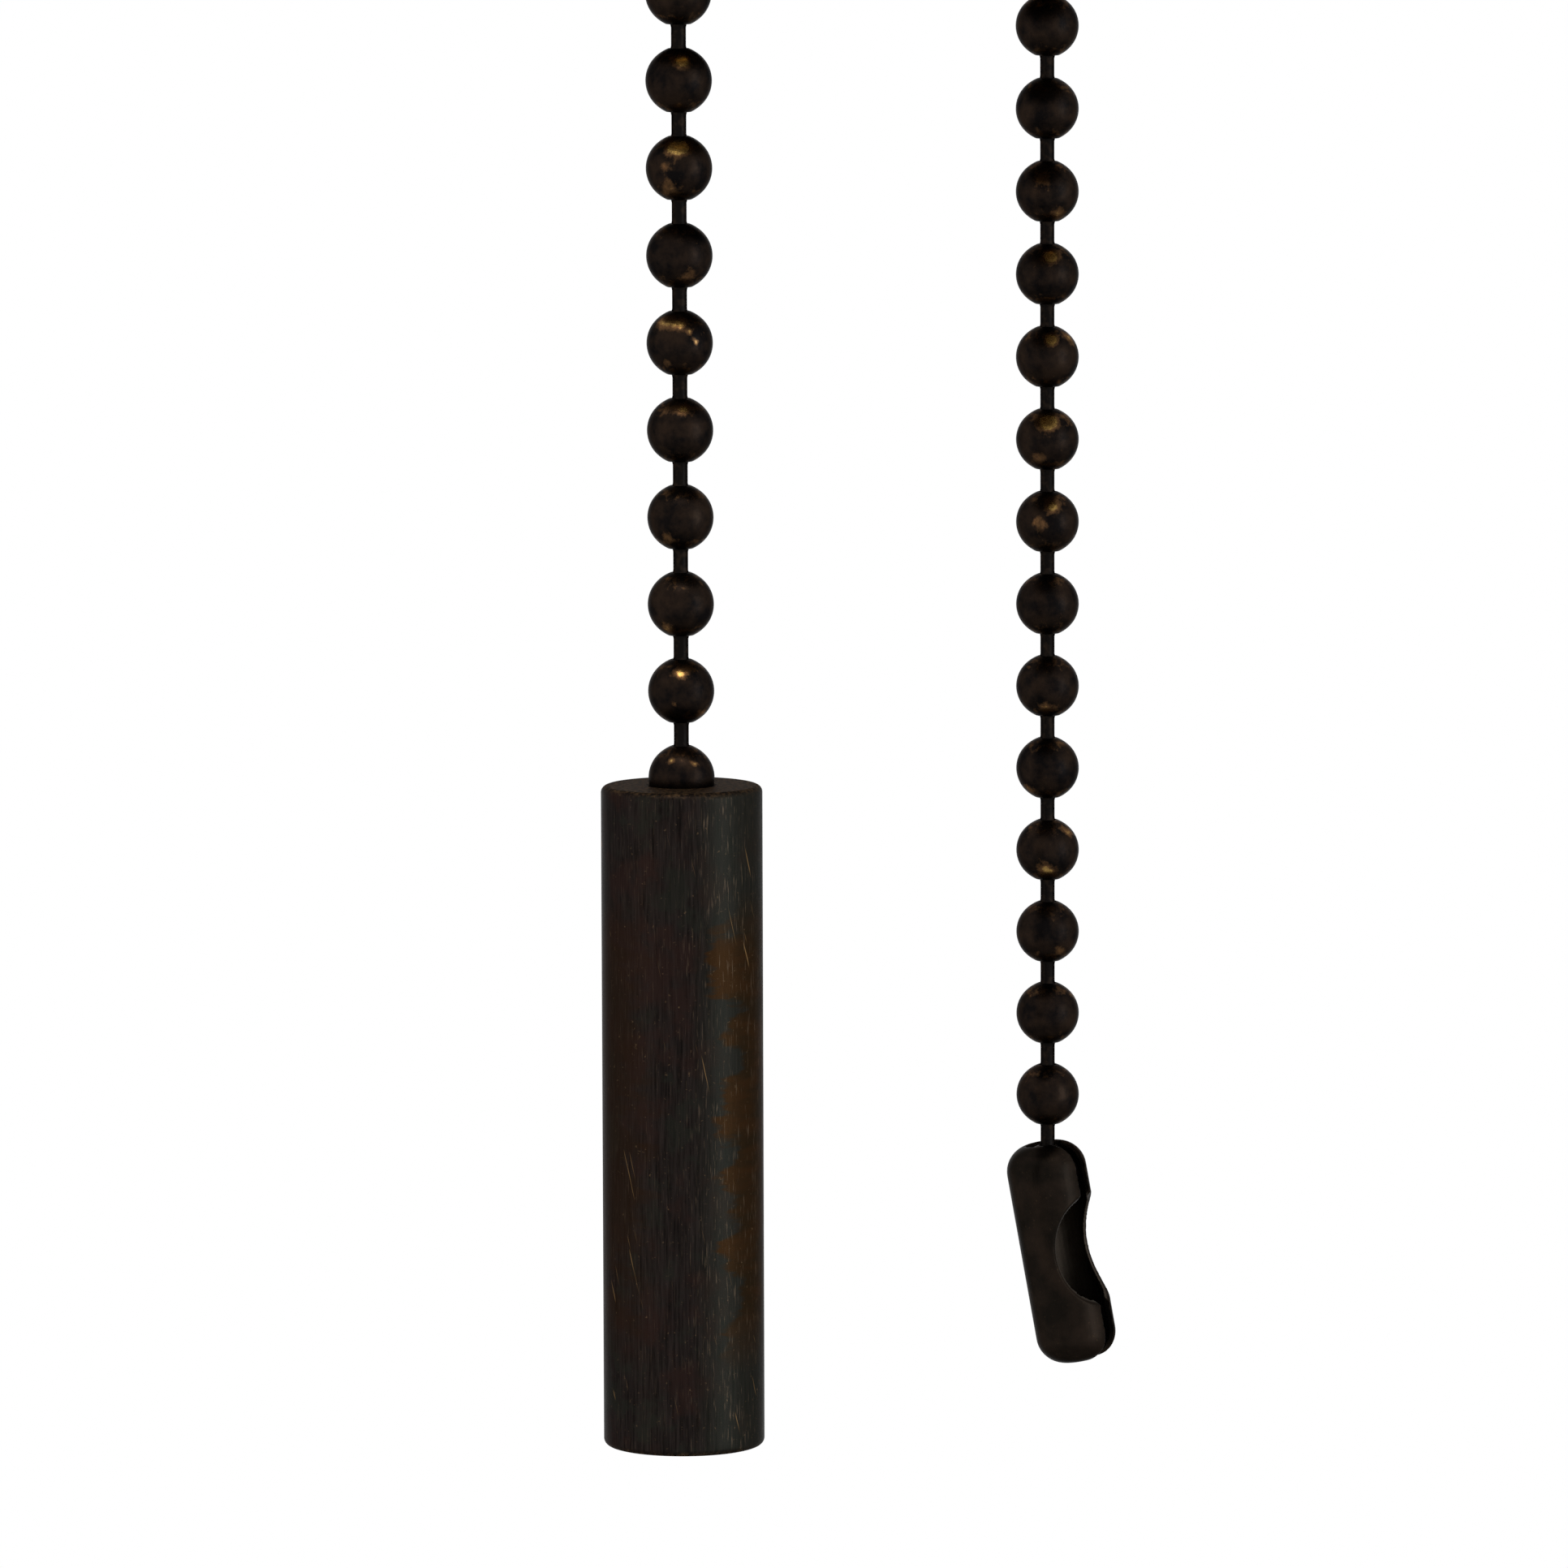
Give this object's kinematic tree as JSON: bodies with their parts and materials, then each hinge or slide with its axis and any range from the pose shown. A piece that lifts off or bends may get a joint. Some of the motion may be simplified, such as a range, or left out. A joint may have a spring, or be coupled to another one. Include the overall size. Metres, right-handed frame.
{
  "type": "pull cord switch",
  "caption": "Round bronze ceiling cup with pull-chain switches; one ball chain ends in a cylinder pull, the other in a split-sleeve connector.",
  "frame": {"origin": "centre of the two ceiling screw slots, on the face that meets the ceiling", "axes": "+Z into the ceiling; +X from the chain with the pull to the chain with the connector; the slots lie along Y"},
  "size_m": [0.0716, 0.073, 0.1188],
  "materials": {
    "cup_bronze": "dark oil-rubbed bronze, satin",
    "chain_bronze": "oil-rubbed bronze plating over brass, golden where worn",
    "pull_bronze": "brushed brown-black bronze patina",
    "connector_bronze": "dark bronze, satin",
    "dark_hardware": "dark bronze screws, nuts and plug",
    "zinc_steel": "zinc-plated steel",
    "spring_steel": "bright spring steel",
    "brass": "plain turned or stamped brass",
    "phenolic": "dark brown moulded phenolic",
    "rubber": "black rubber"
  },
  "bodies": {
    "housing": {"base_plate": "zinc_steel", "cup": "cup_bronze", "cup_screws": "dark_hardware", "cable_grommet": "rubber", "earth_screw": "brass", "ring_nuts": "dark_hardware", "lock_washers": "spring_steel", "cover_rivets": "brass", "terminal_screws": "zinc_steel", "pivot_pins": "spring_steel", "left_case": "phenolic", "left_case_cover": "phenolic", "left_bushing": "brass", "left_return_spring": "spring_steel", "left_fixed_contacts": "brass", "right_case": "phenolic", "right_case_cover": "phenolic", "right_bushing": "brass", "right_return_spring": "spring_steel", "right_fixed_contacts": "brass"},
    "left_plunger": {"left_plunger": "phenolic", "left_chain_head": "chain_bronze"},
    "left_pinion": {"left_pinion": "brass"},
    "left_rotor": {"left_ratchet_rotor": "phenolic", "left_rotor_contact": "brass"},
    "right_plunger": {"right_plunger": "phenolic", "right_chain_head": "chain_bronze"},
    "right_pinion": {"right_pinion": "brass"},
    "right_rotor": {"right_ratchet_rotor": "phenolic", "right_rotor_contact": "brass"},
    "left_chain_01": {"left_chain_01": "chain_bronze"},
    "left_chain_02": {"left_chain_02": "chain_bronze"},
    "left_chain_03": {"left_chain_03": "chain_bronze"},
    "left_chain_04": {"left_chain_04": "chain_bronze"},
    "left_chain_05": {"left_chain_05": "chain_bronze"},
    "left_chain_06": {"left_chain_06": "chain_bronze"},
    "left_chain_07": {"left_chain_07": "chain_bronze"},
    "left_chain_08": {"left_chain_08": "chain_bronze"},
    "left_chain_09": {"left_chain_09": "chain_bronze"},
    "left_chain_10": {"left_chain_10": "chain_bronze"},
    "left_chain_11": {"left_chain_11": "chain_bronze"},
    "right_chain_01": {"right_chain_01": "chain_bronze"},
    "right_chain_02": {"right_chain_02": "chain_bronze"},
    "right_chain_03": {"right_chain_03": "chain_bronze"},
    "right_chain_04": {"right_chain_04": "chain_bronze"},
    "right_chain_05": {"right_chain_05": "chain_bronze"},
    "right_chain_06": {"right_chain_06": "chain_bronze"},
    "right_chain_07": {"right_chain_07": "chain_bronze"},
    "right_chain_08": {"right_chain_08": "chain_bronze"},
    "right_chain_09": {"right_chain_09": "chain_bronze"},
    "right_chain_10": {"right_chain_10": "chain_bronze"},
    "right_chain_11": {"right_chain_11": "chain_bronze"},
    "right_chain_12": {"right_chain_12": "chain_bronze"},
    "right_chain_13": {"right_chain_13": "chain_bronze"},
    "right_chain_14": {"right_chain_14": "chain_bronze"},
    "right_chain_15": {"right_chain_15": "chain_bronze"},
    "right_chain_16": {"right_chain_16": "chain_bronze"},
    "pull": {"pull_weight": "pull_bronze", "pull_plug": "dark_hardware"},
    "connector": {"connector": "connector_bronze"}
  },
  "joints": [
    {"name": "left_pull", "type": "slide", "parent": "housing", "child": "left_plunger", "axis": [0, 0, -1], "range_m": [0, 0.00565], "stiffness_N_per_m": 200, "springref_m": -0.01, "deforming": ["left_return_spring"]},
    {"name": "right_pull", "type": "slide", "parent": "housing", "child": "right_plunger", "axis": [0, 0, -1], "range_m": [0, 0.00565], "stiffness_N_per_m": 200, "springref_m": -0.01, "deforming": ["right_return_spring"]},
    {"name": "pull_spin", "type": "hinge", "parent": "left_chain_11", "child": "pull", "pos_m": [-0.018, 0, -0.085], "axis": [0, 0, 1], "continuous": true},
    {"name": "connector_swing", "type": "hinge", "parent": "right_chain_16", "child": "connector", "pos_m": [0.018, 0, -0.10912], "axis": [-0.8554, -0.518, 0], "range_deg": [-20, 6]},
    {"name": "left_pinion_turn", "type": "hinge", "parent": "housing", "child": "left_pinion", "pos_m": [-0.018, 0.01005, -0.0218], "axis": [1, 0, 0], "range_deg": [0, 90]},
    {"name": "right_pinion_turn", "type": "hinge", "parent": "housing", "child": "right_pinion", "pos_m": [0.018, -0.01005, -0.0218], "axis": [-1, 0, 0], "range_deg": [0, 90]},
    {"name": "left_rotor_turn", "type": "hinge", "parent": "housing", "child": "left_rotor", "pos_m": [-0.018, 0.01005, -0.0218], "axis": [1, 0, 0], "continuous": true},
    {"name": "right_rotor_turn", "type": "hinge", "parent": "housing", "child": "right_rotor", "pos_m": [0.018, -0.01005, -0.0218], "axis": [-1, 0, 0], "continuous": true},
    {"name": "left_chain_01_bend", "type": "hinge", "parent": "left_plunger", "child": "left_chain_01", "pos_m": [-0.018, 0, -0.04217], "axis": [0.7071, 0.7071, 0], "range_deg": [-12, 12]},
    {"name": "left_chain_02_bend", "type": "hinge", "parent": "left_chain_01", "child": "left_chain_02", "pos_m": [-0.018, 0, -0.04637], "axis": [0.7071, -0.7071, 0], "range_deg": [-12, 12]},
    {"name": "left_chain_03_bend", "type": "hinge", "parent": "left_chain_02", "child": "left_chain_03", "pos_m": [-0.018, 0, -0.05057], "axis": [0.7071, 0.7071, 0], "range_deg": [-12, 12]},
    {"name": "left_chain_04_bend", "type": "hinge", "parent": "left_chain_03", "child": "left_chain_04", "pos_m": [-0.018, 0, -0.05477], "axis": [0.7071, -0.7071, 0], "range_deg": [-12, 12]},
    {"name": "left_chain_05_bend", "type": "hinge", "parent": "left_chain_04", "child": "left_chain_05", "pos_m": [-0.018, 0, -0.05897], "axis": [0.7071, 0.7071, 0], "range_deg": [-12, 12]},
    {"name": "left_chain_06_bend", "type": "hinge", "parent": "left_chain_05", "child": "left_chain_06", "pos_m": [-0.018, 0, -0.06317], "axis": [0.7071, -0.7071, 0], "range_deg": [-12, 12]},
    {"name": "left_chain_07_bend", "type": "hinge", "parent": "left_chain_06", "child": "left_chain_07", "pos_m": [-0.018, 0, -0.06737], "axis": [0.7071, 0.7071, 0], "range_deg": [-12, 12]},
    {"name": "left_chain_08_bend", "type": "hinge", "parent": "left_chain_07", "child": "left_chain_08", "pos_m": [-0.018, 0, -0.07157], "axis": [0.7071, -0.7071, 0], "range_deg": [-12, 12]},
    {"name": "left_chain_09_bend", "type": "hinge", "parent": "left_chain_08", "child": "left_chain_09", "pos_m": [-0.018, 0, -0.07577], "axis": [0.7071, 0.7071, 0], "range_deg": [-12, 12]},
    {"name": "left_chain_10_bend", "type": "hinge", "parent": "left_chain_09", "child": "left_chain_10", "pos_m": [-0.018, 0, -0.07997], "axis": [0.7071, -0.7071, 0], "range_deg": [-12, 12]},
    {"name": "left_chain_11_bend", "type": "hinge", "parent": "left_chain_10", "child": "left_chain_11", "pos_m": [-0.018, 0, -0.08417], "axis": [0.7071, 0.7071, 0], "range_deg": [-12, 12]},
    {"name": "right_chain_01_bend", "type": "hinge", "parent": "right_plunger", "child": "right_chain_01", "pos_m": [0.018, 0, -0.04529], "axis": [0.7071, 0.7071, 0], "range_deg": [-12, 12]},
    {"name": "right_chain_02_bend", "type": "hinge", "parent": "right_chain_01", "child": "right_chain_02", "pos_m": [0.018, 0, -0.04949], "axis": [0.7071, -0.7071, 0], "range_deg": [-12, 12]},
    {"name": "right_chain_03_bend", "type": "hinge", "parent": "right_chain_02", "child": "right_chain_03", "pos_m": [0.018, 0, -0.05369], "axis": [0.7071, 0.7071, 0], "range_deg": [-12, 12]},
    {"name": "right_chain_04_bend", "type": "hinge", "parent": "right_chain_03", "child": "right_chain_04", "pos_m": [0.018, 0, -0.05789], "axis": [0.7071, -0.7071, 0], "range_deg": [-12, 12]},
    {"name": "right_chain_05_bend", "type": "hinge", "parent": "right_chain_04", "child": "right_chain_05", "pos_m": [0.018, 0, -0.06209], "axis": [0.7071, 0.7071, 0], "range_deg": [-12, 12]},
    {"name": "right_chain_06_bend", "type": "hinge", "parent": "right_chain_05", "child": "right_chain_06", "pos_m": [0.018, 0, -0.06629], "axis": [0.7071, -0.7071, 0], "range_deg": [-12, 12]},
    {"name": "right_chain_07_bend", "type": "hinge", "parent": "right_chain_06", "child": "right_chain_07", "pos_m": [0.018, 0, -0.07049], "axis": [0.7071, 0.7071, 0], "range_deg": [-12, 12]},
    {"name": "right_chain_08_bend", "type": "hinge", "parent": "right_chain_07", "child": "right_chain_08", "pos_m": [0.018, 0, -0.07469], "axis": [0.7071, -0.7071, 0], "range_deg": [-12, 12]},
    {"name": "right_chain_09_bend", "type": "hinge", "parent": "right_chain_08", "child": "right_chain_09", "pos_m": [0.018, 0, -0.07889], "axis": [0.7071, 0.7071, 0], "range_deg": [-12, 12]},
    {"name": "right_chain_10_bend", "type": "hinge", "parent": "right_chain_09", "child": "right_chain_10", "pos_m": [0.018, 0, -0.08309], "axis": [0.7071, -0.7071, 0], "range_deg": [-12, 12]},
    {"name": "right_chain_11_bend", "type": "hinge", "parent": "right_chain_10", "child": "right_chain_11", "pos_m": [0.018, 0, -0.08729], "axis": [0.7071, 0.7071, 0], "range_deg": [-12, 12]},
    {"name": "right_chain_12_bend", "type": "hinge", "parent": "right_chain_11", "child": "right_chain_12", "pos_m": [0.018, 0, -0.09149], "axis": [0.7071, -0.7071, 0], "range_deg": [-12, 12]},
    {"name": "right_chain_13_bend", "type": "hinge", "parent": "right_chain_12", "child": "right_chain_13", "pos_m": [0.018, 0, -0.09569], "axis": [0.7071, 0.7071, 0], "range_deg": [-12, 12]},
    {"name": "right_chain_14_bend", "type": "hinge", "parent": "right_chain_13", "child": "right_chain_14", "pos_m": [0.018, 0, -0.09989], "axis": [0.7071, -0.7071, 0], "range_deg": [-12, 12]},
    {"name": "right_chain_15_bend", "type": "hinge", "parent": "right_chain_14", "child": "right_chain_15", "pos_m": [0.018, 0, -0.10409], "axis": [0.7071, 0.7071, 0], "range_deg": [-12, 12]},
    {"name": "right_chain_16_bend", "type": "hinge", "parent": "right_chain_15", "child": "right_chain_16", "pos_m": [0.018, 0, -0.10829], "axis": [0.7071, -0.7071, 0], "range_deg": [-12, 12]}
  ],
  "couplings": [
    {"joint": "left_pinion_turn", "follows": "left_pull", "rad_per_m": 277.78},
    {"joint": "right_pinion_turn", "follows": "right_pull", "rad_per_m": 277.78}
  ]
}
